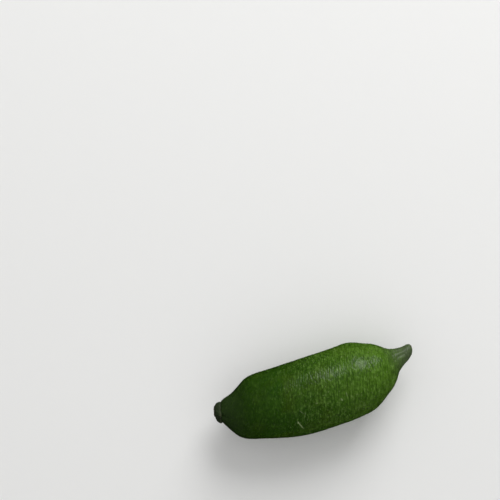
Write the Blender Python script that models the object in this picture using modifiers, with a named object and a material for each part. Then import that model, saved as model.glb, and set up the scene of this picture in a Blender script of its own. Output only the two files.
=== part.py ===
"""Finger lime: a slender, gently curved citrus fruit lying on its side, with the calyx
button still on its stem end.

Metres, +Z up. The fruit's length runs along X, from the stem end (-X) to the tip of the
stylar nipple (+X). It bends in the horizontal plane, hollow side towards +Y. The origin is
the middle of the bounding box, on the surface that the fruit rests on.
"""

import math

import bmesh
import bpy
import numpy as np
from mathutils import Matrix, Vector

MM = 0.001

# Driving dimensions of the whole fruit
AXIS_LENGTH = 64.0 * MM  # along the curved axis, from the stub's cut face into the round tip
AXIS_TURN = math.radians(28.6)  # how far the axis turns between those two ends
BEND_RADIUS = AXIS_LENGTH / AXIS_TURN
RESTING_DEPTH = 0.30 * MM  # how much of the round belly is flattened where it rests

# Outline of the fruit, in mm: distance along the axis from the stub's cut face, and radius.
# It starts with the small dish under the calyx and ends with the stylar nipple.
FRUIT_OUTLINE = (
    (2.05, 0.00),
    (2.05, 1.40),
    (2.12, 2.60),
    (2.46, 3.35),
    (3.20, 4.10),
    (5.10, 5.58),
    (7.50, 7.36),
    (10.40, 9.03),
    (14.50, 10.02),
    (20.00, 10.78),
    (24.50, 11.25),
    (30.00, 11.45),
    (37.00, 11.30),
    (42.50, 11.17),
    (45.80, 11.00),
    (48.40, 10.20),
    (51.30, 8.68),
    (53.70, 7.40),
    (55.70, 5.65),
    (57.40, 3.90),
    (59.30, 2.92),
    (61.00, 2.35),
    (62.30, 1.97),
    (63.20, 1.66),
    (63.85, 1.15),
    (64.20, 0.62),
    (64.35, 0.00),
)
FRUIT_STEPS = 56  # around the axis
FRUIT_RINGS = 76  # along the outline
BELLY_RADIUS = max(radius for distance, radius in FRUIT_OUTLINE) * MM

# The fruit isn't quite true to its arc: near the stem it bulges to the outer side of the
# curve, and the nipple hooks to the inner side. Each is a place, a length and a shift.
STEM_BULGE = (6.8 * MM, 3.6 * MM, -0.85 * MM)
NIPPLE_HOOK = (60.7 * MM, 3.6 * MM, 0.95 * MM)
SHIFT_STATIONS = 60  # along the fruit, where its middle line is moved sideways

# Outline of the calyx button's disc, with the stalk's stub, in the same measures
CALYX_OUTLINE = (
    (0.00, 0.00),
    (0.00, 1.45),
    (0.12, 1.60),
    (0.50, 1.72),
    (0.75, 2.15),
    (1.05, 2.42),
    (1.50, 2.45),
    (1.72, 2.18),
    (1.72, 0.00),
)
CALYX_STEPS = 40

SEPALS = 5
SEPAL_LONGEST = 3.60 * MM  # from the axis to a lobe's tip, on the outer side of the curve
SEPAL_SHORTEST = 2.90 * MM  # the same on the inner side
SEPAL_SIZE = Vector((1.15, 1.22, 0.45)) * MM  # half sizes: outwards, around, along the axis
SEPAL_STATION = 1.25 * MM  # from the stub's cut face to the lobes' middle plane
SEPAL_START = math.radians(-90.0)  # the first lobe points to the fruit's outer side, -Y
SEPAL_SEGMENTS = (18, 10)  # around a lobe, and from pole to pole

RIND_GREEN = (0.030, 0.062, 0.009, 1.0)
RIND_ROUGHNESS = 0.42
CALYX_GREY_GREEN = (0.026, 0.034, 0.014, 1.0)
CALYX_ROUGHNESS = 0.75


def remove_everything():
    """Empty the scene and its collections."""
    for thing in list(bpy.data.objects):
        bpy.data.objects.remove(thing, do_unlink=True)
    for collection in list(bpy.data.collections):
        bpy.data.collections.remove(collection)


def new_collection(name):
    collection = bpy.data.collections.new(name)
    bpy.context.scene.collection.children.link(collection)
    return collection


def new_object(name, mesh, collection, parent):
    thing = bpy.data.objects.new(name, mesh)
    collection.objects.link(thing)
    thing.parent = parent
    return thing


def new_helper(name, shape, cutters, parent):
    """A hidden shape, from a bmesh, that only cuts another solid or is joined to it."""
    mesh = bpy.data.meshes.new(name)
    shape.to_mesh(mesh)
    shape.free()
    helper = new_object(name, mesh, cutters, parent)
    helper.hide_render = True
    helper.display_type = "WIRE"
    return helper


def principled(name, colour, roughness):
    """A Principled material of one colour."""
    material = bpy.data.materials.new(name)
    material.use_nodes = True
    shader = material.node_tree.nodes["Principled BSDF"]
    shader.inputs["Base Color"].default_value = colour
    shader.inputs["Roughness"].default_value = roughness
    shader.inputs["Metallic"].default_value = 0.0
    return material


def round_off(outline, count):
    """Smooth curve through an outline that starts and ends on the axis: cubic Hermite pieces
    whose slope at each point is that of the chord between its neighbours. The outline is
    continued across the axis by its mirror image, so both ends are round and not pointed.
    The count points are closest together where the outline's own points are."""
    outline = np.asarray(outline, dtype=float)
    across = (1.0, -1.0)
    points = np.vstack([outline[1] * across, outline, outline[-2] * across])
    steps = np.hypot(*np.diff(points, axis=0).T) ** 0.5
    knots = np.concatenate([[0.0], np.cumsum(steps)])
    slopes = np.gradient(points, knots, axis=0)
    wanted = np.linspace(knots[1], knots[-2], count)
    piece = np.clip(np.searchsorted(knots, wanted, side="right") - 1, 1, len(knots) - 3)
    width = (knots[piece + 1] - knots[piece])[:, None]
    t = (wanted - knots[piece])[:, None] / width
    curve = (
        (1 + 2 * t) * (1 - t) ** 2 * points[piece]
        + t * (1 - t) ** 2 * width * slopes[piece]
        + t**2 * (3 - 2 * t) * points[piece + 1]
        + t**2 * (t - 1) * width * slopes[piece + 1]
    )
    curve[[0, -1], 1] = 0.0
    return curve


def turned(name, outline, steps, collection, parent):
    """A solid of revolution about its own Z. The outline's distances run down from the top."""
    mesh = bpy.data.meshes.new(name)
    rows = [(radius, 0.0, -distance) for distance, radius in outline]
    edges = [(k, k + 1) for k in range(len(rows) - 1)]
    mesh.from_pydata(rows, edges, [])
    thing = new_object(name, mesh, collection, parent)
    screw = thing.modifiers.new("turn", "SCREW")
    screw.axis = "Z"
    screw.steps = steps
    screw.render_steps = steps
    screw.use_merge_vertices = True
    screw.merge_threshold = 0.00001
    screw.use_smooth_shade = True
    return thing


def axis_shift(distance):
    """How far the middle line lies to the inner side of the arc: a bell-shaped bulge to the
    outer side near the stem, and a hook at the nipple that grows as a square."""
    place, length, shift = STEM_BULGE
    bulge = shift * math.exp(-(((distance - place) / length) ** 2))
    place, length, shift = NIPPLE_HOOK
    return bulge + shift * max(0.0, (distance - place) / length) ** 2


def stand_on_axis(thing, distance, inward=0.0):
    """Turn a solid so that its -Z runs along the fruit's axis, from the given distance, moved
    to the inner side of the curve. The axis is an arc in a level plane, and its middle lies
    at X = 0, Y = 0 and runs along +X."""
    heading = (distance - AXIS_LENGTH / 2) / BEND_RADIUS
    reach = BEND_RADIUS - inward
    place = Matrix.Translation(
        (
            reach * math.sin(heading),
            BEND_RADIUS - reach * math.cos(heading),
            BELLY_RADIUS - RESTING_DEPTH,
        )
    )
    lie_down = Matrix.Rotation(math.radians(-90.0), 4, "Y")
    thing.matrix_basis = place @ Matrix.Rotation(heading, 4, "Z") @ lie_down


def shift_lattice(fruit, first, last, cutters, parent):
    """A hidden lattice round the straight fruit, from the first to the last distance along
    its axis. Each cross-section of it is moved by the axis shift, and takes the fruit along."""
    cage = bpy.data.lattices.new("axis_shift_lattice")
    lattice = new_object("axis_shift_lattice", cage, cutters, parent)
    lattice.hide_render = True
    lattice.display_type = "WIRE"
    width = 4 * BELLY_RADIUS  # well past the fruit's sides
    lattice.matrix_basis = fruit.matrix_basis @ Matrix.Diagonal((width, width, last - first, 1.0))
    cage.points_u = 2
    cage.points_v = 2
    cage.points_w = SHIFT_STATIONS
    cage.interpolation_type_w = "KEY_LINEAR"
    for point in cage.points:
        distance = first + (last - first) * (0.5 - point.co.z)
        point.co_deform.y += axis_shift(distance) / width
    return lattice


def make_fruit(collection, cutters, parent):
    """The fruit: its outline turned round, its middle line shifted, bent along the arc, and
    flattened a little where it rests."""
    outline = round_off(FRUIT_OUTLINE, FRUIT_RINGS) * MM
    first, last = outline[0, 0], outline[-1, 0]
    middle = (first + last) / 2
    outline[:, 0] -= middle
    fruit = turned("fruit", outline, FRUIT_STEPS, collection, parent)
    stand_on_axis(fruit, middle)

    shift = fruit.modifiers.new("shift", "LATTICE")
    shift.object = shift_lattice(fruit, first, last, cutters, parent)
    bend = fruit.modifiers.new("bend", "SIMPLE_DEFORM")
    bend.deform_method = "BEND"
    bend.deform_axis = "X"
    bend.angle = (last - first) / BEND_RADIUS

    size = Vector((2 * AXIS_LENGTH, 4 * BELLY_RADIUS, 4 * BELLY_RADIUS))  # well past the fruit
    block = bmesh.new()
    place = Matrix.Translation((0.0, 0.0, -size.z / 2)) @ Matrix.Diagonal((*size, 1.0))
    bmesh.ops.create_cube(block, size=1.0, matrix=place)
    flatten = fruit.modifiers.new("flatten", "BOOLEAN")
    flatten.operation = "DIFFERENCE"
    flatten.object = new_helper("resting_plane_cutter", block, cutters, parent)

    fruit.data.materials.append(principled("rind", RIND_GREEN, RIND_ROUGHNESS))
    return fruit


def make_calyx(collection, cutters, parent):
    """The calyx button: a turned disc with the stalk's stub, and the sepal lobes joined on.
    The lobes are longest on the outer side of the curve, where the first one points."""
    inward = axis_shift(SEPAL_STATION)
    calyx = turned("calyx", np.array(CALYX_OUTLINE) * MM, CALYX_STEPS, collection, parent)
    stand_on_axis(calyx, 0.0, inward)

    around, pole_to_pole = SEPAL_SEGMENTS
    lobes = bmesh.new()
    for k in range(SEPALS):
        turn = k * math.tau / SEPALS
        tip = SEPAL_SHORTEST + (SEPAL_LONGEST - SEPAL_SHORTEST) * (1 + math.cos(turn)) / 2
        place = (
            Matrix.Rotation(SEPAL_START + turn, 4, "Z")
            @ Matrix.Translation((tip - SEPAL_SIZE.x, 0.0, -SEPAL_STATION))
            @ Matrix.Diagonal((*SEPAL_SIZE, 1.0))
        )
        bmesh.ops.create_uvsphere(
            lobes, u_segments=around, v_segments=pole_to_pole, radius=1.0, matrix=place
        )
    sepals = new_helper("sepal_lobes", lobes, cutters, parent)
    stand_on_axis(sepals, 0.0, inward)
    join = calyx.modifiers.new("join_lobes", "BOOLEAN")
    join.operation = "UNION"
    join.object = sepals

    calyx.data.materials.append(principled("calyx", CALYX_GREY_GREEN, CALYX_ROUGHNESS))
    return calyx


def centre_on_floor(parent, parts):
    """Move the parent so that the parts' bounding box is centred on X and Y and stands at 0."""
    graph = bpy.context.evaluated_depsgraph_get()
    corners = np.array(
        [
            part.matrix_world @ vertex.co
            for part in parts
            for vertex in part.evaluated_get(graph).data.vertices
        ]
    )
    low = corners.min(axis=0)
    high = corners.max(axis=0)
    middle = (low + high) / 2
    parent.location = (-middle[0], -middle[1], -low[2])


def main():
    remove_everything()
    parts = new_collection("finger_lime")
    cutters = new_collection("cutters")
    whole = bpy.data.objects.new("finger_lime_origin", None)
    parts.objects.link(whole)
    fruit = make_fruit(parts, cutters, whole)
    calyx = make_calyx(parts, cutters, whole)
    bpy.context.view_layer.update()
    centre_on_floor(whole, [fruit, calyx])


main()
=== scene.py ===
"""Looks of the finger lime: the rind with its oil glands, the calyx button on its stem end,
and the pale studio that it lies in. All lengths are in metres, in the frame of the solids."""

import math

import bpy
import numpy as np
from bpy.props import FloatProperty, FloatVectorProperty, IntProperty, PointerProperty
from mathutils import Matrix, Vector


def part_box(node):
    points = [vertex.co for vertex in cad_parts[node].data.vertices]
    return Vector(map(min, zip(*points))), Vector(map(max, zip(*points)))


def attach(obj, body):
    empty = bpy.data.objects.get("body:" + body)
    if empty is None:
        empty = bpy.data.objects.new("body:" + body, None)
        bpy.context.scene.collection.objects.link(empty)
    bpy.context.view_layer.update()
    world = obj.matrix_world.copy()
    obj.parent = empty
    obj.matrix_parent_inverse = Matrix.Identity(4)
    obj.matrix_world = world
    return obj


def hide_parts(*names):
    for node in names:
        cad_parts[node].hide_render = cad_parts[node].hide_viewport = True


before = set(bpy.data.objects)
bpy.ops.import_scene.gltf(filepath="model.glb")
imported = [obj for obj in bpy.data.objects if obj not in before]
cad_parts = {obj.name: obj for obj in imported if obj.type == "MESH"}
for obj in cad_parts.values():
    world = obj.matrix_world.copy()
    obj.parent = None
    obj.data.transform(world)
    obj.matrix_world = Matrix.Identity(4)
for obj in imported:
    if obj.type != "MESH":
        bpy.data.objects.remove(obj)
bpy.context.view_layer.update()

bl_info = {
    "name": "Finger lime",
    "version": (1, 0, 0),
    "blender": (4, 5, 0),
    "location": "View3D > Sidebar > Finger lime",
    "description": "Builds a finger lime with its pebbled rind, calyx button and studio",
    "category": "Add Mesh",
}

MM = 0.001
FRUIT_LOW, FRUIT_HIGH = (np.array(corner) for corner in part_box("fruit"))

# Outline of the fruit, in mm: distance along the axis from the stub's cut face, and radius.
# It starts with the small dish under the calyx and ends with the stylar nipple.
FRUIT_OUTLINE = np.array(
    (
        (2.05, 0.00), (2.05, 1.40), (2.12, 2.60), (2.46, 3.35), (3.20, 4.10),
        (5.10, 5.58), (7.50, 7.36), (10.40, 9.03), (14.50, 10.02), (20.00, 10.78),
        (24.50, 11.25), (30.00, 11.45), (37.00, 11.30), (42.50, 11.17), (45.80, 11.00),
        (48.40, 10.20), (51.30, 8.68), (53.70, 7.40), (55.70, 5.65), (57.40, 3.90),
        (59.30, 2.92), (61.00, 2.35), (62.30, 1.97), (63.20, 1.66), (63.85, 1.15),
        (64.20, 0.62), (64.35, 0.00),
    )
)
# The fruit isn't quite true to its arc: near the stem it bulges to the outer side of the
# curve, and the nipple hooks to the inner side. Each is a place, a length and a shift, in mm.
STEM_BULGE = (6.8, 3.6, -0.85)
NIPPLE_HOOK = (60.7, 3.6, 0.95)
RIND_ROWS, RIND_COLUMNS = 482, 207

# Outline of the sepal cup, in mm: distance from the stub's cut face, radius of the disc that
# the sepals share, and how far along a sepal's length the point lies, from 0 to 1.
CUP_OUTLINE = np.array(
    (
        (0.42, 0.00, 0.00), (0.36, 1.25, 0.00), (0.34, 1.75, 0.00), (0.46, 2.00, 0.15),
        (0.78, 2.20, 0.50), (1.25, 2.35, 0.85), (1.75, 2.42, 1.00), (2.15, 2.45, 0.97),
        (2.50, 2.40, 0.60), (2.60, 2.00, 0.00), (2.50, 0.00, 0.00),
    )
)
CUP_RIM = 0.60  # where the edge of the lobes lies, as a share of the outline
CUP_ROWS, CUP_COLUMNS = 110, 360

# Outline of the stalk's stub, in mm: distance from its cut face, and radius
STUB_OUTLINE = np.array(
    (
        (0.10, 0.00), (0.06, 0.60), (0.00, 1.15), (0.03, 1.42), (0.14, 1.56),
        (0.36, 1.64), (0.58, 1.76), (0.80, 2.00), (1.10, 1.60), (1.10, 0.00),
    )
)
STUB_ROWS, STUB_COLUMNS = 110, 220

# Oil glands. The lengths are shares of the gland pitch.
GLAND_PATCH = 0.87  # skin that a round gland takes up, as a share of the pitch's square
GLAND_SCATTER = (0.16, 0.20)  # strength of the random shift along and round the fruit
GLAND_RADIUS = (0.40, 0.64)  # smallest and largest
GLAND_SEARCH = 2.2  # how far along the fruit a point looks for the glands round it
GLAND_BULGE = (0.45, 1.0)  # lowest and highest, as a share of the gland height
DOME_POWER = 1.2  # how full a gland's dome is
GLAND_ENDS = (0.5, 1.6)  # radii of the fruit, in mm, between which glands set in
STEM_CALM = (0.50, 13.0, 34.0)  # share of the height lost near the stem, and until where, in mm
NIPPLE_CALM = (0.35, 55.0, 60.0)  # share of the height lost on the nipple, and from where

# Other relief of the rind, in mm
RIB_RISE, RIB_FADE = (4.0, 16.0), (46.0, 56.0)  # where along the axis the ribs rise and fade
RIB_SWAY = (0.35, 9.0)  # how far they wind, in radians, and the length that sets how often
LUMP_SIZE = 14.0  # of the broad lumps
LUMP_ENDS = (2.0, 8.0)  # radii of the fruit between which the lumps set in
FOLD_HEIGHT = 0.06  # lengthwise folds on the nipple
FOLD_RISE, FOLD_FADE = (50.0, 56.0), (60.5, 63.2)  # where they rise and fade
SCAR_REACH = (0.70, 1.20)  # distances from the tip between which the style's scar fades out
SCAR_RAGGEDNESS = 0.10  # how far its edge strays
SCAR_DEPTH = 0.10  # its floor below the skin
SCAR_CRUMBS = 0.045  # height of the crumbs on its floor
SCAR_RIM = (0.95, 0.25, 0.16)  # radius, width and height of the ridge round it
RESTING_ROUND = 0.10  # how softly the skin turns into the resting flat

# Healed scratches: distance along the axis and angle round it of the middle, lean from
# running round the fruit, length, width and strength, in mm and degrees
SCRATCHES = (
    (24.75, 132.3, 17.0, 4.9, 0.50, 0.85),
    (24.2, 124.5, -10.0, 1.5, 0.70, 0.50),
    (25.9, 108.0, 35.0, 2.4, 0.45, 0.30),
    (26.7, 114.0, -20.0, 2.8, 0.40, 0.30),
    (38.2, 108.0, 8.0, 1.4, 0.70, 0.55),
    (40.1, 103.0, -5.0, 2.4, 0.45, 0.35),
    (41.0, 63.0, -30.0, 3.2, 0.45, 0.45),
    (17.5, 250.0, 55.0, 4.6, 0.45, 0.60),
    (35.5, -24.0, 10.0, 3.8, 0.45, 0.50),
    (47.0, 205.0, -12.0, 3.4, 0.50, 0.60),
)
SCRATCH_REACH = 1.2  # how far a mark reaches into the skin and out of it, in mm

# Sizes of the rind's patterns, in mm, and how many times longer than wide its streaks and
# flecks are
BROAD_PATCHES, OLIVE_PATCHES, RIPE_PATCHES = 12.0, 7.0, 4.0
FLECK_LENGTH, CORK_CRUMBS, GRAIN_SIZE = 1.1, 0.45, 0.14
STREAK_SLENDERNESS, FLECK_SLENDERNESS = 5.0, 2.2

# Shares of the axis between which a part of the rind sets in, or gives way
BELLY_SETS_IN, NOSE_SETS_IN, NIPPLE_SETS_IN = (0.03, 0.34), (0.34, 0.88), (0.84, 0.98)
STREAKS_SET_IN, BLOOM_AND_REFLECTION_GIVE_WAY = (0.20, 0.58), (0.03, 0.20)

# Relief of the calyx: heights in mm, and how many veins, ridges and rays go round
VEIN_COUNT, VEIN_HEIGHT, CRUMPLE_HEIGHT = 41, 0.022, 0.05
EDGE_RAGGEDNESS = 0.035
BARK_RIDGES, RIDGE_HEIGHT, BARK_LUMPS = 19, 0.035, 0.03
CUT_RAYS, RAY_HEIGHT, CUT_ROUGHNESS = 31, 0.02, 0.05

BUMP_DEPTH = 0.03 * MM  # height of the bumps that the materials add to the surface

# The sweep, in metres: the radii of its level floor and of the curve that leads up into the
# wall, and the height of the wall
SWEEP_FLAT, SWEEP_CURVE, SWEEP_WALL = 1.50, 0.50, 0.60
SWEEP_FLAT_RINGS, SWEEP_CURVE_RINGS, SWEEP_COLUMNS = 11, 24, 96

# The picture is square; the middles of the stub and of the nipple's tip lie at these places
PICTURE_PIXELS = 500
STUB_PIXEL = Vector((214.0, 411.5))
TIP_PIXEL = Vector((412.0, 349.0))


class FruitSettings(bpy.types.PropertyGroup):
    """Shape of the fruit and relief of its rind."""

    axis_length: FloatProperty(
        name="Axis length",
        description="Length along the curved axis, from the stub's cut face into the round tip",
        default=64.0 * MM,
        unit="LENGTH",
    )
    axis_turn: FloatProperty(
        name="Axis turn",
        description="How far the axis turns between its two ends",
        default=math.radians(28.6),
        subtype="ANGLE",
    )
    rib_count: IntProperty(
        name="Ribs",
        description="Soft ribs along the fruit, one over each of its segments",
        default=6,
    )
    rib_depth: FloatProperty(
        name="Rib depth",
        description="How far a rib stands proud of the round",
        default=0.09 * MM,
        unit="LENGTH",
    )
    lump_height: FloatProperty(
        name="Lump height",
        description="Height of the broad lumps that make the round uneven",
        default=0.10 * MM,
        unit="LENGTH",
    )
    gland_pitch: FloatProperty(
        name="Gland pitch",
        description="Distance between neighbouring oil glands round the fruit",
        default=1.20 * MM,
        unit="LENGTH",
    )
    gland_squash: FloatProperty(
        name="Gland squash",
        description="How many times longer a gland is round the fruit than along it",
        default=1.9,
    )
    gland_height: FloatProperty(
        name="Gland height",
        description="How far an oil gland swells out of the rind",
        default=0.125 * MM,
        unit="LENGTH",
    )
    gland_lean: FloatProperty(
        name="Gland lean",
        description="How far the glands lean from lying round the fruit, seen from above",
        default=math.radians(15.0),
        subtype="ANGLE",
    )
    furrow_count: IntProperty(
        name="Stem furrows",
        description="Short furrows that run from the calyx over the shoulder",
        default=11,
    )
    furrow_depth: FloatProperty(
        name="Furrow depth",
        description="Depth of the furrows at the stem end",
        default=0.20 * MM,
        unit="LENGTH",
    )
    seed: IntProperty(
        name="Seed", description="Changes the places of glands, lumps and furrows", default=7
    )


class RindSettings(bpy.types.PropertyGroup):
    """Colours and gloss of the rind."""

    # The rind's own darkest green, at the stem end. It is also painted shade in the pores, between
    # the glands and in the stem furrows
    deep_green_and_shade: FloatVectorProperty(
        name="Deep green",
        description="Darkest green, at the stem end, in the pores and between the glands",
        default=(0.0080, 0.0240, 0.0006),
        subtype="COLOR",
    )
    leaf: FloatVectorProperty(
        name="Leaf green",
        description="Main green of the belly",
        default=(0.0135, 0.0530, 0.0004),
        subtype="COLOR",
    )
    ripening: FloatVectorProperty(
        name="Ripening green",
        description="Yellower green of the patches that ripen first",
        default=(0.064, 0.150, 0.0070),
        subtype="COLOR",
    )
    olive: FloatVectorProperty(
        name="Olive",
        description="Browner green of broad patches on the belly",
        default=(0.036, 0.058, 0.0008),
        subtype="COLOR",
    )
    # Partly the stem end's real waxy bloom and partly a painted grey reflection
    bloom_and_reflection: FloatVectorProperty(
        name="Bloom",
        description="Grey-green waxy bloom at the stem end",
        default=(0.020, 0.041, 0.0090),
        subtype="COLOR",
    )
    streak: FloatVectorProperty(
        name="Streaks",
        description="Paler green of the fine streaks that run round the fruit",
        default=(0.108, 0.198, 0.037),
        subtype="COLOR",
    )
    tip: FloatVectorProperty(
        name="Nipple",
        description="Pale grey-green of the nipple",
        default=(0.072, 0.090, 0.052),
        subtype="COLOR",
    )
    fleck: FloatVectorProperty(
        name="Flecks",
        description="Pale yellow-green of the smallest flecks",
        default=(0.155, 0.215, 0.075),
        subtype="COLOR",
    )
    cork: FloatVectorProperty(
        name="Cork",
        description="Pale corky skin over healed scratches",
        default=(0.26, 0.33, 0.15),
        subtype="COLOR",
    )
    withered: FloatVectorProperty(
        name="Withered brown",
        description="Dry brown of the scar where the style fell off",
        default=(0.052, 0.038, 0.022),
        subtype="COLOR",
    )
    streak_lean: FloatProperty(
        name="Streak lean",
        description="How far the streaks lean from running straight round the fruit",
        default=math.radians(15.0),
        subtype="ANGLE",
    )
    streak_length: FloatProperty(
        name="Streak length",
        description="Length of the broader streaks",
        default=2.4 * MM,
        unit="LENGTH",
    )
    fine_streak_length: FloatProperty(
        name="Fine streak length",
        description="Length of the finer streaks",
        default=1.1 * MM,
        unit="LENGTH",
    )
    pore_gap: FloatProperty(
        name="Pore gap",
        description="Distance between neighbouring pores",
        default=0.75 * MM,
        unit="LENGTH",
    )
    roughness: FloatProperty(
        name="Roughness",
        description="Roughness of clean rind",
        default=0.34,
        subtype="FACTOR",
    )


class CalyxSettings(bpy.types.PropertyGroup):
    """Shape and colours of the calyx button."""

    sepal_count: IntProperty(name="Sepals", description="Number of sepal lobes", default=5)
    sepal_length: FloatProperty(
        name="Sepal length",
        description="Reach past the disc of the longest lobe, on the curve's outer side",
        default=1.20 * MM,
        unit="LENGTH",
    )
    fused_reach: FloatProperty(
        name="Fused reach",
        description="Reach past the disc of the cup's whole edge on the curve's inner side",
        default=0.52 * MM,
        unit="LENGTH",
    )
    green: FloatVectorProperty(
        name="Sepal green",
        description="Grey-green of the sepals",
        default=(0.013, 0.028, 0.007),
        subtype="COLOR",
    )
    dry: FloatVectorProperty(
        name="Dry edge",
        description="Brown of the sepals' dry patches and of the stub's bark",
        default=(0.030, 0.033, 0.013),
        subtype="COLOR",
    )
    # Also the thin pale rim on the lobes' edges, which is partly a dry margin and partly a painted
    # edge highlight
    rim: FloatVectorProperty(
        name="Rim",
        description="Pale brown of the sepals' veins and of their thin rim",
        default=(0.055, 0.065, 0.028),
        subtype="COLOR",
    )
    wood: FloatVectorProperty(
        name="Cut wood",
        description="Pale wood of the stub's cut face",
        default=(0.27, 0.23, 0.13),
        subtype="COLOR",
    )
    seed: IntProperty(
        name="Seed", description="Changes the sepals' random lengths and turns", default=3
    )


class StudioSettings(bpy.types.PropertyGroup):
    """Floor, lights and camera."""

    floor: FloatVectorProperty(
        name="Floor",
        description="Colour of the floor and the wall that it curves up into",
        default=(0.85, 0.85, 0.84),
        subtype="COLOR",
    )
    key_power: FloatProperty(
        name="Key light",
        description="Power of the large soft light behind the fruit's tip",
        default=5.8,
        unit="POWER",
    )
    key_width: FloatProperty(
        name="Key width",
        description="Side of the square key light",
        default=0.56,
        unit="LENGTH",
    )
    key_place: FloatVectorProperty(
        name="Key place",
        description="Where the key light stands. It faces the fruit",
        default=(0.432, 0.617, 0.528),
        unit="LENGTH",
    )
    ambient: FloatProperty(
        name="Ambient", description="Strength of the even light from all round", default=0.60
    )
    lens: FloatProperty(
        name="Lens",
        description="Focal length, in millimetres",
        default=135.0,
        unit="CAMERA",
    )


class Wire:
    """A value in a shader: one socket of a node tree. Arithmetic on it adds Math nodes."""

    def __init__(self, tree, socket=None):
        self.tree = tree
        self.socket = socket

    def node(self, kind, settings=None, inputs=None, output=0):
        """Adds a node: its settings first, then its inputs' values or wires. Returns the wire
        of one of its outputs."""
        made = self.tree.nodes.new(kind)
        for name, value in (settings or {}).items():
            setattr(made, name, value)
        for name, value in (inputs or {}).items():
            if isinstance(value, Wire):
                self.tree.links.new(value.socket, made.inputs[name])
            else:
                made.inputs[name].default_value = value
        return Wire(self.tree, made.outputs[output])

    def math(self, operation, *values):
        return self.node("ShaderNodeMath", {"operation": operation}, dict(enumerate(values)))

    def __add__(self, other):
        return self.math("ADD", self, other)

    def __sub__(self, other):
        return self.math("SUBTRACT", self, other)

    def __rsub__(self, other):
        return self.math("SUBTRACT", other, self)

    def __mul__(self, other):
        return self.math("MULTIPLY", self, other)

    __radd__ = __add__
    __rmul__ = __mul__

    def step(self, start, end):
        """Smooth step: 0 where the value is start, 1 where it is end."""
        return self.node(
            "ShaderNodeMapRange",
            {"interpolation_type": "SMOOTHSTEP"},
            {"Value": self, "From Min": start, "From Max": end},
        )

    def trait(self, name, output="Fac"):
        """An attribute of the mesh, as a number, or as a vector if that output is named."""
        return self.node("ShaderNodeAttribute", {"attribute_name": name}, output=output)

    def colour(self, setting):
        """The wire of a colour setting."""
        made = self.node("ShaderNodeRGB")
        made.socket.default_value = opaque(setting)
        return made

    def layered(self, *layers):
        """Mixes this colour with one layer after another, each a factor and a colour, which is
        a wire or a setting and shows fully where the factor is 1. A Mix node's colours are
        its inputs 6 and 7 and its output 2."""
        colour = self
        for factor, layer in layers:
            over = layer if isinstance(layer, Wire) else opaque(layer)
            inputs = {0: factor, 6: colour, 7: over}
            colour = self.node("ShaderNodeMix", {"data_type": "RGBA"}, inputs, output=2)
        return colour

    def squeezed(self, slenderness, lean):
        """The coordinates turned by the lean about their Z, then stretched along their X, so
        that a pattern on them comes out that many times narrower along X."""
        return self.node(
            "ShaderNodeMapping",
            {"vector_type": "TEXTURE"},
            {"Vector": self, "Rotation": (0.0, 0.0, -lean), "Scale": (1 / slenderness, 1.0, 1.0)},
        )

    def noise(self, size, detail=2.0, roughness=0.5):
        """Noise on these coordinates, whose blotches are about size across."""
        return self.node(
            "ShaderNodeTexNoise",
            {},
            {"Vector": self, "Scale": 1.0 / size, "Detail": detail, "Roughness": roughness},
        )

    def dots(self, size):
        """Distance to the nearest of many scattered points, about size apart, as a share of it."""
        return self.node("ShaderNodeTexVoronoi", {}, {"Vector": self, "Scale": 1.0 / size})


def opaque(colour):
    """A colour setting as the four numbers that a colour socket takes."""
    return (*colour, 1.0)


def new_material(name):
    """An empty Principled material: its tree as a wire without a socket, and its shader."""
    material = bpy.data.materials.new(name)
    material.use_nodes = True
    shader = material.node_tree.nodes["Principled BSDF"]
    return material, Wire(material.node_tree), shader


def dress(shader, colour, roughness, height, bumpiness):
    """Links a shader's colour and roughness, and a bump from the height."""
    bump = height.node(
        "ShaderNodeBump", {}, {"Strength": bumpiness, "Distance": BUMP_DEPTH, "Height": height}
    )
    for name, wire in {"Base Color": colour, "Roughness": roughness, "Normal": bump}.items():
        wire.tree.links.new(wire.socket, shader.inputs[name])


def round_off(outline, places):
    """Smooth profile through an outline that starts and ends on the axis: cubic Hermite pieces
    whose slope at each point is that of the chord between its neighbours. The outline is
    continued across the axis by its mirror image, so both ends are round and not pointed.
    Each point holds a distance and a radius, or a row of them, one for each column of a
    grid. The places run from 0 at the outline's start to 1 at its end."""
    across = np.array((1.0, -1.0))
    points = np.concatenate([outline[1:2] * across, outline, outline[-2:-1] * across])
    middle = points.reshape(len(points), -1, 2).mean(axis=1)
    steps = np.hypot(*np.diff(middle, axis=0).T) ** 0.5
    knots = np.concatenate([[0.0], np.cumsum(steps)])
    slopes = np.gradient(points, knots, axis=0)
    wanted = knots[1] + places * (knots[-2] - knots[1])
    piece = np.clip(np.searchsorted(knots, wanted, side="right") - 1, 1, len(knots) - 3)
    shape = (-1,) + (1,) * (outline.ndim - 1)
    width = (knots[piece + 1] - knots[piece]).reshape(shape)
    t = (wanted - knots[piece]).reshape(shape) / width
    return (
        (1 + 2 * t) * (1 - t) ** 2 * points[piece]
        + t * (1 - t) ** 2 * width * slopes[piece]
        + t**2 * (3 - 2 * t) * points[piece + 1]
        + t**2 * (t - 1) * width * slopes[piece + 1]
    )


def smooth_step(value, start, end):
    """0 below start, 1 above end, and 3t^2 - 2t^3 between them."""
    t = np.clip((value - start) / (end - start), 0.0, 1.0)
    return t * t * (3 - 2 * t)


def soft_noise(points, size, seed, waves=28):
    """Random field of about unit strength: a sum of sine waves in random directions, whose
    lengths lie round the size given."""
    rng = np.random.default_rng(seed)
    aim = rng.normal(size=(3, waves))
    aim /= np.linalg.norm(aim, axis=0)
    waving = aim * math.tau / (size * rng.uniform(0.7, 1.5, waves))
    phase = rng.uniform(0.0, math.tau, waves)
    return np.sin(points @ waving + phase).sum(axis=-1) * math.sqrt(2 / waves)


def angle_between(angle, other):
    """The smallest turn from one angle to another, between -pi and pi."""
    return (angle - other + math.pi) % math.tau - math.pi


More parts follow.
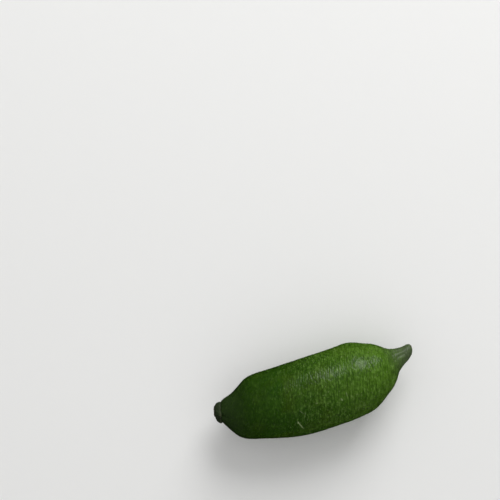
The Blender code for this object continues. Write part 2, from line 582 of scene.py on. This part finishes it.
def axis_shift(distance):
    """How far the fruit's middle line lies to the inner side of the arc: a bell-shaped bulge
    to the outer side near the stem, and a hook at the nipple that grows as a square."""
    place, length, shift = (value * MM for value in STEM_BULGE)
    bulge = shift * np.exp(-(((distance - place) / length) ** 2))
    place, length, shift = (value * MM for value in NIPPLE_HOOK)
    return bulge + shift * np.clip((distance - place) / length, 0.0, None) ** 2


def bent(settings, along, across):
    """X and Y of points of the straight fruit, carried onto its curved axis, an arc whose middle
    runs along +X through the origin: a point at a distance along the axis goes to that
    distance along the arc, and its height across shortens the arc's radius."""
    radius = settings.axis_length / settings.axis_turn
    turn = (along - settings.axis_length / 2) / radius
    inner = radius - across - axis_shift(along)
    return np.stack([inner * np.sin(turn), radius - inner * np.cos(turn)], axis=-1)


def arc_middle(settings):
    """Where the arc's middle lies in the frame: there, the box of the smooth fruit, which its
    inner and outer edges give, has the same middle as the box of the solid."""
    distance, radius = round_off(FRUIT_OUTLINE, np.linspace(0.0, 1.0, RIND_ROWS)).T * MM
    edges = np.concatenate([bent(settings, distance, side * radius) for side in (-1, 1)])
    return (FRUIT_LOW + FRUIT_HIGH)[:2] / 2 - (edges.min(axis=0) + edges.max(axis=0)) / 2


def turned(along, radius, angle):
    """Points of the straight fruit: an outline turned round the axis."""
    sides = radius * np.cos(angle), radius * np.sin(angle)
    return np.stack([along * np.ones_like(angle), *sides], axis=-1)


def on_arc(settings, points):
    """Carries points of the straight fruit to their place in the frame. The axis lies as far
    under the solid's top as the belly's radius."""
    along, across, up = np.moveaxis(points, -1, 0)
    flat = bent(settings, along, across) + arc_middle(settings)
    height = up + FRUIT_HIGH[2] - FRUIT_OUTLINE[:, 1].max() * MM
    return np.concatenate([flat, height[..., None]], axis=-1)


def skin(name, grid, traits, closed=True):
    """Object from a grid of points whose first row shrinks to one point, as its last row does
    where it is closed: quads between the rows, which join up all round, and a fan of
    triangles at each such point. The traits are values for the grid's points, kept as
    attributes of the mesh."""
    rows, columns = grid.shape[:2]

    def unrolled(values):
        """The values in the order of the mesh's points."""
        inner = values[1 : rows - closed].reshape(-1, *values.shape[2:])
        return np.concatenate([values[:1, 0], inner, values[rows - closed :, 0]])

    ring = np.arange(columns)
    after = np.roll(ring, -1)
    start = 1 + columns * np.arange(rows - 2 - closed)[:, None]
    below = start + columns
    quads = np.stack([start + ring, start + after, below + after, below + ring], -1)
    fans = [np.stack([np.zeros_like(ring), after + 1, ring + 1], -1)]
    if closed:
        last = 1 + columns * (rows - 3)
        fans.append(np.stack([np.full_like(ring, last + columns), last + ring, last + after], -1))
    corners = np.concatenate([quads.ravel(), *(fan.ravel() for fan in fans)])
    sides = np.repeat((4, 3), (quads.size // 4, len(fans) * columns))

    mesh = bpy.data.meshes.new(name)
    points = unrolled(grid)
    mesh.vertices.add(len(points))
    mesh.vertices.foreach_set("co", points.astype(np.float32).ravel())
    mesh.loops.add(len(corners))
    mesh.loops.foreach_set("vertex_index", corners.astype(np.int32))
    mesh.polygons.add(len(sides))
    mesh.polygons.foreach_set("loop_start", (np.cumsum(sides) - sides).astype(np.int32))
    mesh.update(calc_edges=True)
    mesh.shade_smooth()
    for trait, values in traits.items():
        kind, field = ("FLOAT_VECTOR", "vector") if values.ndim == 3 else ("FLOAT", "value")
        kept = mesh.attributes.new(trait, kind, "POINT")
        kept.data.foreach_set(field, unrolled(values).astype(np.float32).ravel())
    mesh.validate()
    made = bpy.data.objects.new(name, mesh)
    bpy.context.scene.collection.objects.link(made)
    return made


def piece_of(name, node, material, grid, traits):
    """A finished piece that stands for a CAD node and rides on the fruit's body."""
    made = skin(name, grid, traits)
    made.data.materials.append(material)
    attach(made, "root")
    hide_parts(node)
    return made


def rind_rows():
    """Places of the rind's rows on its outline. The rows are evenly spaced along the skin,
    but twice as close on the nipple and 1.7 times at the stem, where the shape changes
    fastest."""
    fine = np.linspace(0.0, 1.0, 6000)
    outline = round_off(FRUIT_OUTLINE, fine)
    stretch = np.hypot(*np.diff(outline, axis=0).T)
    distance = outline[1:, 0]
    nipple, stem = smooth_step(distance, 55.0, 59.0), 1 - smooth_step(distance, 3.5, 7.0)
    travelled = np.concatenate([[0.0], np.cumsum(stretch * (1 + nipple + 0.7 * stem))])
    return np.interp(np.linspace(0.0, travelled[-1], RIND_ROWS), travelled, fine)


def gland_relief(settings, length, radius, angle):
    """Oil glands as low domes. Their centres follow a spiral that turns by the golden angle
    and advances by equal areas of skin, so they cover the fruit evenly; each is then
    shifted a little at random. A gland is longer round the fruit than along it, and leans.
    A point's height is that of the tallest dome over it, 1 - d^2 to the dome power, with d
    the distance from the dome's middle as a share of its radius. Returns the height from 0
    to 1 and a random tone that belongs to the nearest gland."""
    rng = np.random.default_rng(settings.seed)
    squash = settings.gland_squash
    pitch = settings.gland_pitch
    bands = np.diff(length) * (radius[1:] + radius[:-1]) * math.pi
    swept = np.concatenate([[0.0], np.cumsum(bands)])
    count = int(swept[-1] / (pitch**2 * GLAND_PATCH / squash))
    centre = np.interp((np.arange(count) + 0.5) / count * swept[-1], swept, length)
    scatter_along, scatter_round = (share * pitch for share in GLAND_SCATTER)
    centre += rng.normal(0.0, scatter_along, count) / squash
    golden = math.pi * (3 - math.sqrt(5))
    own_radius = np.interp(centre, length, radius)
    shift = rng.normal(0.0, scatter_round, count) / np.maximum(own_radius, pitch)
    turn = np.arange(count) * golden + shift
    size = pitch * rng.uniform(*GLAND_RADIUS, count)
    bulge = rng.uniform(*GLAND_BULGE, count)
    tone = rng.uniform(0.0, 1.0, count)
    reach = GLAND_SEARCH * pitch / squash
    slope = math.tan(settings.gland_lean) * np.sin(angle)[:, None]
    height = np.zeros((len(length), len(angle)))
    nearest_tone = np.zeros_like(height)
    for row, (here, wide) in enumerate(zip(length, radius)):
        near = np.abs(centre - here) < reach
        gap_around = angle_between(angle[:, None], turn[near]) * wide
        gap_along = (here - centre[near] + slope * gap_around) * squash
        gap = np.hypot(gap_along, gap_around)
        dome = bulge[near] * np.clip(1 - (gap / size[near]) ** 2, 0.0, None) ** DOME_POWER
        height[row] = dome.max(axis=1)
        nearest_tone[row] = tone[near][gap.argmin(axis=1)]
    return height, nearest_tone


def stem_furrows(settings, distance, radius, angle):
    """Furrows that run from the calyx over the shoulder: each is a narrow bell-shaped groove
    round its own angle, deepest beside the calyx and fading out along its own length, as it
    widens and winds round the fruit."""
    rng = np.random.default_rng(settings.seed + 1)
    count = settings.furrow_count
    turns = np.arange(count) * math.tau / count + rng.uniform(-0.22, 0.22, count)
    depths = rng.uniform(0.35, 1.0, count)
    reaches = rng.uniform(2.0, 6.0, count) * MM
    widths = rng.uniform(0.28, 0.50, count) * MM
    winding = 12.0  # radians a metre
    widening = 0.08  # metres a metre
    groove = np.zeros_like(radius * angle)
    run = distance - FRUIT_OUTLINE[2, 0] * MM
    for turn, depth, reach, width in zip(turns, depths, reaches, widths):
        offset = angle_between(angle, turn + winding * run) * radius
        fade = np.exp(-((run / reach) ** 2))
        groove += depth * fade * np.exp(-((offset / (width + widening * run)) ** 2))
    return groove * smooth_step(radius, 1.2 * MM, 2.6 * MM)


def nipple_folds(distance, angle):
    """Fine lengthwise folds where the belly narrows into the nipple: two waves round the
    axis, of nine and of five folds, that wind slowly opposite ways along it. They start and
    end within the neck."""
    phase = 1.7 + 60.0 * (distance - FOLD_RISE[0] * MM)
    wave = np.cos(9 * angle + phase) + 0.6 * np.cos(5 * angle - 1.3 * phase)
    along = distance / MM
    return wave * smooth_step(along, *FOLD_RISE) * (1 - smooth_step(along, *FOLD_FADE))


def style_scar(settings, points, distance, radius):
    """How far a point belongs to the dry scar on the nipple's tip, from 0 to 1: it fades out
    with the distance from the tip, and its edge is ragged."""
    tip = FRUIT_OUTLINE[-1, 0] * MM
    reach = np.hypot((tip - distance) * 1.2, radius)
    ragged = SCAR_RAGGEDNESS * MM * soft_noise(points, 0.9 * MM, settings.seed + 4)
    start, end = (value * MM for value in SCAR_REACH)
    return 1 - smooth_step(reach + ragged, start, end)


def rind_surface(settings):
    """The rind: the smooth outline turned round the axis, pushed in and out along its normals
    by ribs, lumps, furrows, folds and oil glands, and bent onto the arc. It is flattened
    where it rests by taking a height z to (z + sqrt(z^2 + r^2)) / 2, with r the resting
    round. Returns the grid of points and the traits that the material reads."""
    outline = round_off(FRUIT_OUTLINE, rind_rows()) * MM
    outline[[0, -1], 1] = 0.0
    distance, radius = outline.T
    run = np.gradient(outline, axis=0)
    run /= np.linalg.norm(run, axis=1, keepdims=True)
    length = np.concatenate([[0.0], np.cumsum(np.hypot(*np.diff(outline, axis=0).T))])
    angle = np.arange(RIND_COLUMNS) * math.tau / RIND_COLUMNS

    glands, tone = gland_relief(settings, length, radius, angle)
    distance, radius = distance[:, None], radius[:, None]
    points = turned(distance, radius, angle)
    along, wide = distance / MM, radius / MM
    belly = smooth_step(along, *RIB_RISE) * (1 - smooth_step(along, *RIB_FADE))
    sway = RIB_SWAY[0] * np.sin(along / RIB_SWAY[1])
    ribs = np.cos(settings.rib_count * angle + sway) * belly
    lumps = soft_noise(points, LUMP_SIZE * MM, settings.seed + 2)
    lumps = lumps * smooth_step(wide, *LUMP_ENDS)
    furrows = stem_furrows(settings, distance, radius, angle)
    folds = nipple_folds(distance, angle)
    scar = style_scar(settings, points, distance, radius)
    calm, start, end = NIPPLE_CALM
    near_tip = 1 - calm * smooth_step(along, start, end)
    gland_fade = smooth_step(wide, *GLAND_ENDS) * (1 - scar) * near_tip
    calm, start, end = STEM_CALM
    near_stem = 1 - calm + calm * smooth_step(along, start, end)
    ragged = soft_noise(points, 0.5 * MM, settings.seed + 3)
    rim_radius, rim_width, rim_height = (value * MM for value in SCAR_RIM)
    rim = np.exp(-(((radius - rim_radius) / rim_width) ** 2)) * scar
    relief = (
        settings.rib_depth * ribs
        + settings.lump_height * lumps
        - settings.furrow_depth * furrows
        + FOLD_HEIGHT * MM * folds
        + settings.gland_height * (glands - glands.mean()) * gland_fade * near_stem
        + scar * (SCAR_CRUMBS * MM * ragged - SCAR_DEPTH * MM)
        + rim_height * rim
    )
    relief *= smooth_step(radius, 0.0, 0.6 * MM)

    out = radius + relief * run[:, 0:1]
    back = distance - relief * run[:, 1:2]
    grid = on_arc(settings, turned(back, out, angle))
    grid[..., 2] = (grid[..., 2] + np.hypot(grid[..., 2], RESTING_ROUND * MM)) / 2
    traits = {
        "gland": glands * gland_fade,
        "gland_tone": tone,
        "furrow": furrows,
        "style_scar": scar,
        "station": points[..., 0] / settings.axis_length,
        "straight": points,
    }
    return grid, traits


def scratch_mark(place, scratch):
    """How far a point of the straight fruit belongs to a scratch, from 0 to 1: an ellipsoid,
    long and thin and laid against the skin, whose strength falls off from its middle."""
    along, angle, lean, long, wide, strength = scratch
    angle = math.radians(angle)
    radius = np.interp(along, FRUIT_OUTLINE[:, 0], FRUIT_OUTLINE[:, 1])
    middle = Vector((along, radius * math.cos(angle), radius * math.sin(angle))) * MM
    aim = Matrix.Rotation(angle, 3, "X") @ Matrix.Rotation(math.radians(lean), 3, "Y")
    local = place.node(
        "ShaderNodeMapping",
        {"vector_type": "TEXTURE"},
        {
            "Vector": place,
            "Location": middle,
            "Rotation": aim.to_euler(),
            "Scale": Vector((wide / 2, SCRATCH_REACH, long / 2)) * MM,
        },
    )
    mark = place.node(
        "ShaderNodeTexGradient", {"gradient_type": "SPHERICAL"}, {"Vector": local}, output="Fac"
    )
    return mark.step(0.0, 0.6) * strength


def rind_material(colours):
    """Rind: greens that drift along and round the fruit, with broad olive patches, lighter on
    the oil glands, and with fine light streaks and flecks that run round the fruit and are
    fainter near the stem. Over them lie pores, a grey waxy bloom at the stem end that is
    partly a painted grey reflection, the pale nipple, and corky marks where scratches healed.
    Painted shade darkens the pores, the gaps between the glands and the stem furrows. All
    patterns lie in the straight fruit, so that they follow the fruit's curve."""
    material, tree, shader = new_material("rind")
    place = tree.trait("straight", "Vector")
    gland, tone, furrow = (tree.trait(name) for name in ("gland", "gland_tone", "furrow"))
    scar, station = tree.trait("style_scar"), tree.trait("station")

    broad = place.noise(BROAD_PATCHES * MM)
    patches = place.noise(RIPE_PATCHES * MM, detail=3.0)
    leaning = place.squeezed(STREAK_SLENDERNESS, colours.streak_lean)
    round_streaks = leaning.noise(colours.streak_length, detail=4.0, roughness=0.62)
    fine_streaks = leaning.noise(colours.fine_streak_length, detail=4.0, roughness=0.62)
    pores = 1 - place.dots(colours.pore_gap).step(0.08, 0.26)
    grain = place.noise(GRAIN_SIZE * MM)

    # Where along the fruit its parts lie, each from 0 to 1
    belly = station.step(*BELLY_SETS_IN)
    nose = station.step(*NOSE_SETS_IN)
    lively = station.step(*STREAKS_SET_IN) * 0.82 + 0.18
    stem_end = 1 - station.step(*BLOOM_AND_REFLECTION_GIVE_WAY)
    nipple = station.step(*NIPPLE_SETS_IN)

    # Ground colour
    olive = place.noise(OLIVE_PATCHES * MM, detail=1.0).step(0.42, 0.66) * belly
    uneven = round_streaks.step(0.34, 0.60) * 0.45 + patches.step(0.35, 0.65) * 0.20
    ripe = patches.step(0.45, 0.75) * belly * 0.20 + nose * (uneven + 0.35)

    # Glands, streaks, flecks, and the stem end's waxy bloom with its painted grey reflection
    faint = lively * 0.75 + 0.25
    # Painted shade between the oil glands, where the relief dips between the domes
    gland_gap_shade = 1 - gland.step(0.0, 0.30)
    streaks = round_streaks.step(0.46, 0.66) * 0.90 + fine_streaks.step(0.47, 0.68) * 0.50
    pale = streaks * (gland * 0.95 + 0.22) * (tone + 0.35)
    flecks = place.squeezed(FLECK_SLENDERNESS, colours.streak_lean)
    flecks = flecks.noise(FLECK_LENGTH * MM, detail=1.0).step(0.66, 0.78)
    # Waxy bloom at the stem end, partly real and partly a painted grey reflection
    bloom_and_reflection = stem_end * 0.80 * (1 - gland * 0.45)

    # Scars
    crumbs = place.noise(CORK_CRUMBS * MM, detail=3.0).step(0.25, 0.60)
    healed = sum(scratch_mark(place, scratch) for scratch in SCRATCHES) * (crumbs * 0.8 + 0.2)
    corky_ring = scar.step(0.0, 0.25) * (1 - scar.step(0.25, 0.65))

    colour = tree.colour(colours.deep_green_and_shade).layered(
        (broad * 0.8 + belly * 0.75 - 0.35, colours.leaf),
        (olive * 0.36, colours.olive),
        (ripe, colours.ripening),
        (gland * (tone * 0.28 + 0.06) * faint, colours.ripening),
        # painted shade in the gaps between the glands
        (gland_gap_shade * faint * 0.32, colours.deep_green_and_shade),
        (pale * lively, colours.streak),
        (flecks * lively * 0.65, colours.fleck),
        # painted shade in the pits of the pores, which the bump also sinks
        (pores * 0.35, colours.deep_green_and_shade),
        (bloom_and_reflection, colours.bloom_and_reflection),
        (nipple * 0.75, colours.tip),
        # painted shade in the stem furrows, over the grooves that the relief carves
        (furrow * 0.5, colours.deep_green_and_shade),
        (healed, colours.cork),
        (corky_ring * (grain * 0.4 + 0.2), colours.cork),
        (scar.step(0.20, 0.75) * (grain * 0.5 + 0.6), colours.withered),
    )
    roughness = colours.roughness + (patches - 0.5) * 0.16 - gland * 0.12 + scar * 0.30
    roughness = roughness + bloom_and_reflection * 0.15 + healed * 0.25
    height = (fine_streaks * 0.7 + round_streaks * 0.5 - pores * 0.8) * lively
    height = height + grain * 0.45 + healed * 0.8
    shader.inputs["IOR"].default_value = 1.36
    shader.inputs["Specular IOR Level"].default_value = 0.38
    dress(shader, colour, roughness, height, bumpiness=0.6)
    return material


def sepal_reach(settings, angle):
    """How far each direction's lobe reaches past the disc: for every sepal a rounded tooth,
    (1 - |turn / half width|^1.4)^0.9, with its own length, width and turn. On the inner side
    of the curve the sepals are fused to a bell-shaped skirt, and the edge is ragged."""
    rng = np.random.default_rng(settings.seed)
    count = settings.sepal_count
    reach = np.zeros_like(angle)
    for sepal in range(count):
        turn = math.pi + sepal * math.tau / count + rng.uniform(-0.08, 0.08)
        outer_side = 0.66 - 0.34 * math.cos(turn)
        long = settings.sepal_length * outer_side * rng.uniform(0.92, 1.0)
        half_width = 0.56 * rng.uniform(0.92, 1.06)
        tooth = 1 - (np.abs(angle_between(angle, turn)) / half_width) ** 1.4
        reach = np.maximum(reach, long * np.clip(tooth, 0.0, None) ** 0.9)
    fused = settings.fused_reach * np.exp(-((angle_between(angle, 0.0) / 0.9) ** 2))
    reach = np.maximum(reach, fused)
    ragged = 0.5 * np.sin(23 * angle + 1.0) + 0.5 * np.sin(37 * angle + 2.0)
    return reach + EDGE_RAGGEDNESS * MM * ragged


def cup_surface(fruit, settings):
    """The sepal cup: an outline for every direction, which reaches out along that direction's
    lobe, smoothed, with fine veins that run outwards. Veins and crumples show on the front
    only, up to the edge of the lobes."""
    angle = np.arange(CUP_COLUMNS) * math.tau / CUP_COLUMNS
    reach = sepal_reach(settings, angle)
    distance = CUP_OUTLINE[:, 0:1] * MM * np.ones_like(angle)
    radius = CUP_OUTLINE[:, 1:2] * MM + CUP_OUTLINE[:, 2:3] * reach
    radius[[0, -1]] = 0.0
    places = np.linspace(0.0, 1.0, CUP_ROWS)
    profile = round_off(np.stack([distance, radius], axis=-1), places)
    profile[[0, -1], :, 1] = 0.0
    distance, radius = profile[..., 0], profile[..., 1]
    points = turned(distance, radius, angle)
    outwards = smooth_step(radius, 1.6 * MM, 2.4 * MM)
    veins = np.cos(VEIN_COUNT * angle + 2.0 * soft_noise(points, 2.0 * MM, settings.seed + 1))
    crumple = soft_noise(points, 0.9 * MM, settings.seed + 2)
    front = 1 - smooth_step(places, 0.55, 0.75)[:, None]
    relief = (VEIN_HEIGHT * veins + CRUMPLE_HEIGHT * crumple) * MM * outwards * front
    grid = on_arc(fruit, turned(distance - relief, radius, angle))
    past_disc = (radius - 2.1 * MM) / (1.3 * MM)
    traits = {
        "outwards": np.clip(past_disc, 0.0, 1.5),
        "edge": np.exp(-(((places - CUP_RIM) / 0.045) ** 2))[:, None] * outwards,
        "vein": veins * outwards,
    }
    return grid, traits


def stub_surface(fruit, settings):
    """The stalk's stub: its outline turned round, a little out of round, with ridges down the
    bark and a rough cut face whose rays run out from the pith."""
    angle = np.arange(STUB_COLUMNS) * math.tau / STUB_COLUMNS
    places = np.linspace(0.0, 1.0, STUB_ROWS)
    profile = round_off(STUB_OUTLINE, places) * MM
    profile[[0, -1], 1] = 0.0
    distance, radius = profile[:, 0:1], profile[:, 1:2]
    points = turned(distance, radius, angle)
    bark = smooth_step(places, 0.30, 0.42)[:, None]
    face = 1 - smooth_step(places, 0.22, 0.32)[:, None]
    ridges = np.cos(BARK_RIDGES * angle + 1.5 * soft_noise(points, 1.2 * MM, settings.seed + 3))
    rays = np.cos(CUT_RAYS * angle) * smooth_step(radius, 0.2 * MM, 0.8 * MM)
    rough = soft_noise(points, 0.55 * MM, settings.seed + 4)
    off_axis = smooth_step(radius, 0.2 * MM, 1.0 * MM)
    out = radius + bark * (RIDGE_HEIGHT * ridges + BARK_LUMPS * rough) * MM * off_axis
    back = distance + face * (RAY_HEIGHT * rays + CUT_ROUGHNESS * rough) * MM
    out = out * (1 + 0.035 * np.cos(2 * angle + 0.6) + 0.02 * np.cos(3 * angle))
    grid = on_arc(fruit, turned(back, out, angle))
    traits = {
        "cut_face": np.repeat(face, STUB_COLUMNS, axis=1),
        "ring": np.repeat(radius / (1.5 * MM), STUB_COLUMNS, axis=1),
        "ridge": bark * ridges,
    }
    return grid, traits


def sepal_material(colours):
    """Drying sepals: grey-green, brown in patches and towards their tips, with paler veins
    and a thin pale rim that is partly a dry margin and partly a painted edge highlight."""
    material, tree, shader = new_material("sepals")
    place = tree.node("ShaderNodeTexCoord", output="Object")
    outwards, vein, edge = (tree.trait(name) for name in ("outwards", "vein", "edge"))
    blotch = place.noise(1.1 * MM, detail=4.0, roughness=0.6)
    grain = place.noise(0.12 * MM, detail=3.0)
    colour = tree.colour(colours.green).layered(
        (outwards.step(0.70, 1.15) * 0.6 + blotch.step(0.48, 0.72) * 0.5, colours.dry),
        (vein.step(0.1, 1.0) * blotch.step(0.35, 0.60) * 0.30, colours.rim),
        (grain.step(0.55, 0.80) * 0.20, colours.rim),
        # thin pale rim on the lobes: partly a dry margin, partly a painted edge highlight
        (edge * blotch.step(0.25, 0.55) * 0.65, colours.rim),
    )
    shader.inputs["Specular IOR Level"].default_value = 0.2
    dress(shader, colour, grain * 0.2 + 0.55, grain + blotch, bumpiness=0.7)
    return material


def stub_material(colours):
    """Stalk stub: brown bark with greenish ridges, and a pale cut face with a darker ring
    under the bark and a small dark pith."""
    material, tree, shader = new_material("stub")
    place = tree.node("ShaderNodeTexCoord", output="Object")
    face, ring, ridge = (tree.trait(name) for name in ("cut_face", "ring", "ridge"))
    blotch = place.noise(0.6 * MM, detail=4.0, roughness=0.6)
    grain = place.noise(0.10 * MM, detail=3.0)
    green = blotch.step(0.40, 0.70) * 0.6 + ridge * 0.2
    bark = tree.colour(colours.dry).layered((green, colours.green))
    pith = 1 - ring.step(0.10, 0.24)
    under_bark = ring.step(0.62, 0.92)
    stain = pith * 0.6 + under_bark * 0.55 + grain.step(0.45, 0.75) * 0.4
    wood = tree.colour(colours.wood).layered((stain, colours.dry))
    colour = bark.layered((face, wood))
    shader.inputs["Specular IOR Level"].default_value = 0.25
    dress(shader, colour, grain * 0.2 + 0.7, grain + blotch, bumpiness=0.8)
    return material


def sweep_surface():
    """The floor and the wall that it curves up into: a flat disc, a quarter circle and a
    straight wall, turned round the vertical. Returns a grid that starts at one point. Its
    columns run clockwise, seen from above, so that its faces point up."""
    turn = np.linspace(0.0, math.pi / 2, SWEEP_CURVE_RINGS)
    level = np.linspace(0.0, SWEEP_FLAT, SWEEP_FLAT_RINGS, endpoint=False)
    out = np.concatenate([level, SWEEP_FLAT + SWEEP_CURVE * np.sin(turn)])
    up = np.concatenate([np.zeros(SWEEP_FLAT_RINGS), SWEEP_CURVE * (1 - np.cos(turn))])
    out = np.append(out, SWEEP_FLAT + SWEEP_CURVE)
    up = np.append(up, SWEEP_CURVE + SWEEP_WALL)
    angle = -np.arange(SWEEP_COLUMNS) * math.tau / SWEEP_COLUMNS
    rise = np.outer(up, np.ones(SWEEP_COLUMNS))
    return np.stack([np.outer(out, np.cos(angle)), np.outer(out, np.sin(angle)), rise], -1)


class FINGER_LIME_OT_fruit(bpy.types.Operator):
    """Build the fruit: a closed skin with real relief for ribs, furrows and oil glands"""

    bl_idname = "finger_lime.fruit"
    bl_label = "Fruit"

    def execute(self, context):
        scene = context.scene
        grid, traits = rind_surface(scene.finger_lime_fruit)
        piece_of("rind", "fruit", rind_material(scene.finger_lime_rind), grid, traits)
        return {"FINISHED"}


class FINGER_LIME_OT_calyx(bpy.types.Operator):
    """Build the calyx button: the sepal cup and the cut stub of the stalk"""

    bl_idname = "finger_lime.calyx"
    bl_label = "Calyx"

    def execute(self, context):
        scene = context.scene
        fruit, calyx = scene.finger_lime_fruit, scene.finger_lime_calyx
        grid, traits = cup_surface(fruit, calyx)
        piece_of("sepal_cup", "calyx", sepal_material(calyx), grid, traits)
        grid, traits = stub_surface(fruit, calyx)
        piece_of("stalk_stub", "calyx", stub_material(calyx), grid, traits)
        return {"FINISHED"}


class FINGER_LIME_OT_studio(bpy.types.Operator):
    """Build the stage: a pale sweep, a soft light and the camera straight above"""

    bl_idname = "finger_lime.studio"
    bl_label = "Studio"

    def execute(self, context):
        scene = context.scene
        studio = scene.finger_lime_studio
        self.add_sweep(studio)
        self.add_lights(scene, studio)
        self.add_camera(scene, studio)
        return {"FINISHED"}

    def add_sweep(self, studio):
        """The pale floor that curves up into a wall. Glossy surfaces don't mirror it."""
        sweep = skin("sweep", sweep_surface(), {}, closed=False)
        material, _, shader = new_material("sweep")
        shader.inputs["Base Color"].default_value = opaque(studio.floor)
        shader.inputs["Roughness"].default_value = 0.9
        shader.inputs["Specular IOR Level"].default_value = 0.1
        sweep.data.materials.append(material)
        sweep.visible_glossy = False

    def add_lights(self, scene, studio):
        """A large soft light that faces the fruit, and an even glow from all round, which
        glossy surfaces don't mirror."""
        lamp = bpy.data.lights.new("key", "AREA")
        lamp.shape = "SQUARE"
        lamp.size = studio.key_width
        lamp.energy = studio.key_power
        light = bpy.data.objects.new("key", lamp)
        light.location = studio.key_place
        light.rotation_euler = (-light.location).to_track_quat("-Z", "Y").to_euler()
        scene.collection.objects.link(light)
        world = bpy.data.worlds.new("glow")
        scene.world = world
        world.use_nodes = True
        glow = world.node_tree.nodes["Background"]
        glow.inputs["Color"].default_value = (1.0, 1.0, 1.0, 1.0)
        glow.inputs["Strength"].default_value = studio.ambient
        world.cycles_visibility.glossy = False
        scene.view_settings.view_transform = "Standard"

    def add_camera(self, scene, studio):
        """A camera that looks straight down. The chord from the stub to the tip runs along +X
        and fixes the picture's scale, its turn and what lies in its middle."""
        fruit = scene.finger_lime_fruit
        along = np.array([0.0, fruit.axis_length])
        ends = on_arc(fruit, np.stack([along, -axis_shift(along), np.zeros(2)], axis=-1))
        stub, tip = (Vector(end) for end in ends)
        chord = TIP_PIXEL - STUB_PIXEL
        scale = (tip - stub).length / chord.length
        data = bpy.data.cameras.new("camera")
        data.lens = studio.lens
        data.clip_start = 0.01
        data.clip_end = 10.0
        offset = (STUB_PIXEL + TIP_PIXEL - Vector((PICTURE_PIXELS, PICTURE_PIXELS))) / 2
        height = PICTURE_PIXELS * data.lens / data.sensor_width
        turn = Matrix.Rotation(math.atan2(chord.y, chord.x), 4, "Z")
        place = (stub + tip) / 2 + turn @ Vector((-offset.x, offset.y, height)) * scale
        camera = bpy.data.objects.new("camera", data)
        camera.matrix_world = Matrix.Translation(place) @ turn
        scene.collection.objects.link(camera)
        scene.camera = camera


class FINGER_LIME_PT_panel(bpy.types.Panel):
    """Sidebar panel with the build steps"""

    bl_idname = "FINGER_LIME_PT_panel"
    bl_label = "Finger lime"
    bl_space_type = "VIEW_3D"
    bl_region_type = "UI"
    bl_category = "Finger lime"

    def draw(self, context):
        column = self.layout.column()
        for operator in OPERATORS:
            column.operator(operator.bl_idname)


OPERATORS = (FINGER_LIME_OT_fruit, FINGER_LIME_OT_calyx, FINGER_LIME_OT_studio)
SETTINGS = {
    "finger_lime_fruit": FruitSettings,
    "finger_lime_rind": RindSettings,
    "finger_lime_calyx": CalyxSettings,
    "finger_lime_studio": StudioSettings,
}


def register():
    for kind in (*SETTINGS.values(), *OPERATORS, FINGER_LIME_PT_panel):
        bpy.utils.register_class(kind)
    for name, kind in SETTINGS.items():
        setattr(bpy.types.Scene, name, PointerProperty(type=kind))


def unregister():
    for name in SETTINGS:
        delattr(bpy.types.Scene, name)
    for kind in (FINGER_LIME_PT_panel, *reversed(OPERATORS), *SETTINGS.values()):
        bpy.utils.unregister_class(kind)


def main():
    """Builds everything."""
    register()
    bpy.ops.finger_lime.fruit()
    bpy.ops.finger_lime.calyx()
    bpy.ops.finger_lime.studio()


if __name__ == "__main__":
    main()
